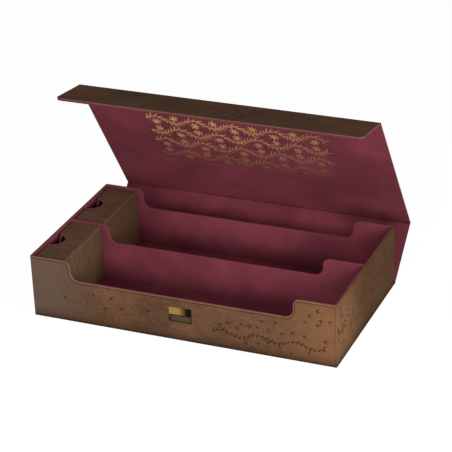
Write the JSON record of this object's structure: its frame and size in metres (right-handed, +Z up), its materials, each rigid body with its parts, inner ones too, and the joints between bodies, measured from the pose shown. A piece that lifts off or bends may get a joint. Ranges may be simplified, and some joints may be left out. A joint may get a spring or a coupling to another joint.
{
  "type": "trading card storage box",
  "caption": "Leatherette card tray with cut-out walls, a divider, lift-out lidded cases and a hinged wrap-round cover with a magnetic front flap.",
  "frame": {"origin": "centre of the underside of the base panel, on the surface that the box stands on", "axes": "+X to the right along the box, +Y towards the back panel, +Z up"},
  "size_m": [0.368, 0.2623, 0.2345],
  "materials": {
    "leatherette": "satin",
    "case_leatherette": "satin",
    "lining": "matte",
    "grey_board": "matte",
    "brass_plate": "satin",
    "magnet_steel": "satin"
  },
  "bodies": {
    "tray": {"cover_base_board": "grey_board", "cover_base_skin": "leatherette", "tray_floor_board": "grey_board", "tray_floor_lining": "lining", "tray_front_board": "grey_board", "tray_rear_board": "grey_board", "tray_left_board": "grey_board", "tray_right_board": "grey_board", "tray_outer_skin": "leatherette", "tray_wall_lining": "lining", "front_wall_magnets": "magnet_steel", "label_plate": "brass_plate", "label_pad": "leatherette", "divider_board": "grey_board", "divider_lining": "lining", "base_fold": "leatherette"},
    "back_panel": {"back_board": "grey_board", "back_skin": "leatherette", "back_lining": "lining", "back_fold": "leatherette"},
    "lid": {"lid_board": "grey_board", "lid_skin": "leatherette", "lid_lining": "lining", "flap_fold": "leatherette"},
    "flap": {"flap_board": "grey_board", "flap_skin": "leatherette", "flap_lining": "lining", "flap_magnets": "magnet_steel"},
    "front_case": {"front_case_board": "grey_board", "front_case_skin": "case_leatherette", "front_case_lining": "lining", "front_case_fold": "case_leatherette"},
    "front_case_lid": {"front_case_lid_board": "grey_board", "front_case_lid_skin": "case_leatherette", "front_case_lid_lining": "lining"},
    "rear_case": {"rear_case_board": "grey_board", "rear_case_skin": "case_leatherette", "rear_case_lining": "lining", "rear_case_fold": "case_leatherette"},
    "rear_case_lid": {"rear_case_lid_board": "grey_board", "rear_case_lid_skin": "case_leatherette", "rear_case_lid_lining": "lining"}
  },
  "joints": [
    {"name": "back_hinge", "type": "hinge", "parent": "tray", "child": "back_panel", "pos_m": [0, 0.1027, 0.0015], "axis": [-1, 0, 0], "range_deg": [-48.6, 41.4]},
    {"name": "lid_hinge", "type": "hinge", "parent": "back_panel", "child": "lid", "pos_m": [0, 0.16023, 0.05222], "axis": [-1, 0, 0], "range_deg": [-8.8, 81.2]},
    {"name": "flap_hinge", "type": "hinge", "parent": "lid", "child": "flap", "pos_m": [0, 0.04957, 0.22526], "axis": [-1, 0, 0], "range_deg": [-39.8, 50.2]},
    {"name": "front_case_lift", "type": "slide", "parent": "tray", "child": "front_case", "axis": [0, 0, 1], "range_m": [0, 0.072]},
    {"name": "front_case_lid_hinge", "type": "hinge", "parent": "front_case", "child": "front_case_lid", "pos_m": [-0.1432, 0, 0.0729], "axis": [0, 1, 0], "range_deg": [0, 120]},
    {"name": "rear_case_lift", "type": "slide", "parent": "tray", "child": "rear_case", "axis": [0, 0, 1], "range_m": [0, 0.072]},
    {"name": "rear_case_lid_hinge", "type": "hinge", "parent": "rear_case", "child": "rear_case_lid", "pos_m": [-0.1432, 0, 0.0729], "axis": [0, 1, 0], "range_deg": [0, 120]}
  ]
}
